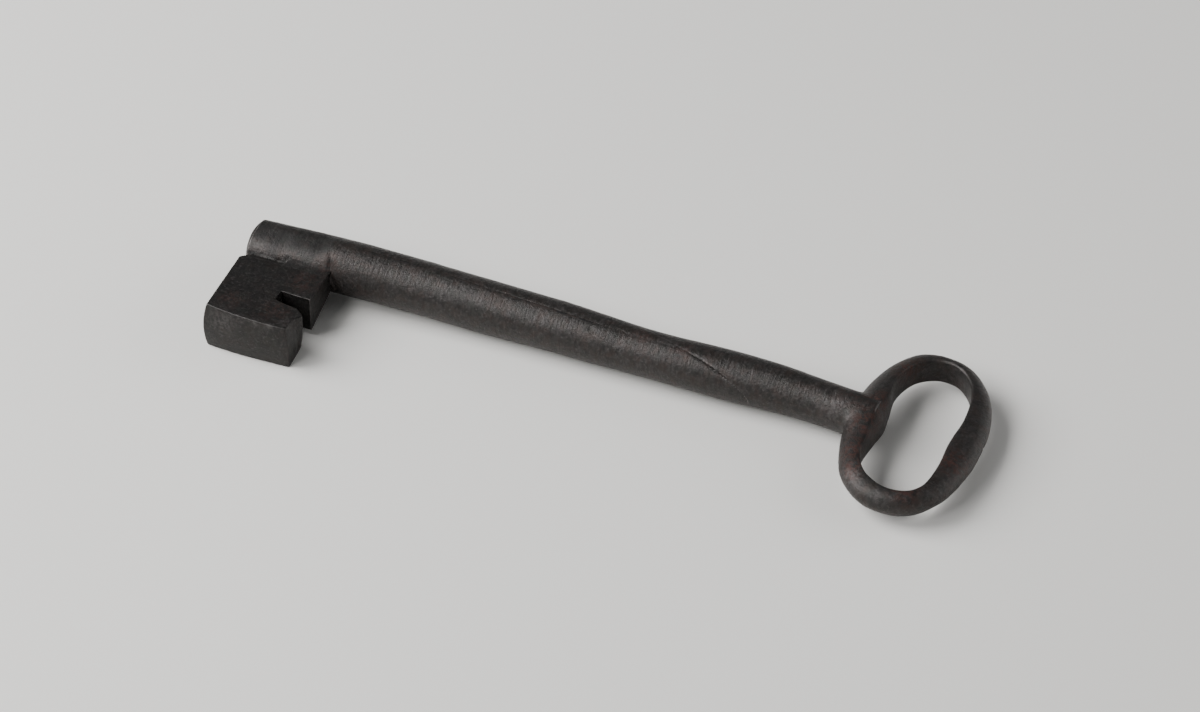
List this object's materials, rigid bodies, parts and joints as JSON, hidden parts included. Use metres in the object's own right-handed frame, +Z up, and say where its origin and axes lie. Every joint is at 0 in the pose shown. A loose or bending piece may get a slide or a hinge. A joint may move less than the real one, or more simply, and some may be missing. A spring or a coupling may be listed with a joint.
{
  "type": "gate key",
  "caption": "Large forged gate key: oval ring bow, long shank with an open barrel, and a wedge bit with one ward slot.",
  "frame": {"origin": "middle of the bounding box in plan, on the surface that the key lies on", "axes": "+X along the shank from the barrel's open tip to the bow, -Y the way the bit points, +Z up from the surface that the key lies on"},
  "size_m": [0.2484, 0.0758, 0.0193],
  "materials": {
    "shank_iron": "dark brown patina, fine transverse file marks, soft grey sheen",
    "bow_iron": "dark brown patina, hammered and handled smooth",
    "bit_iron": "dark brown patina, filed flat, edges worn bright",
    "braze": "red-brown patina in the joints"
  },
  "bodies": {
    "root": {"barrel": "shank_iron", "stem": "shank_iron", "bow_ring": "bow_iron", "bit": "bit_iron", "bit_braze_top": "braze", "bit_braze_under": "braze", "neck_braze": "braze", "seam_braze": "braze"}
  },
  "joints": []
}
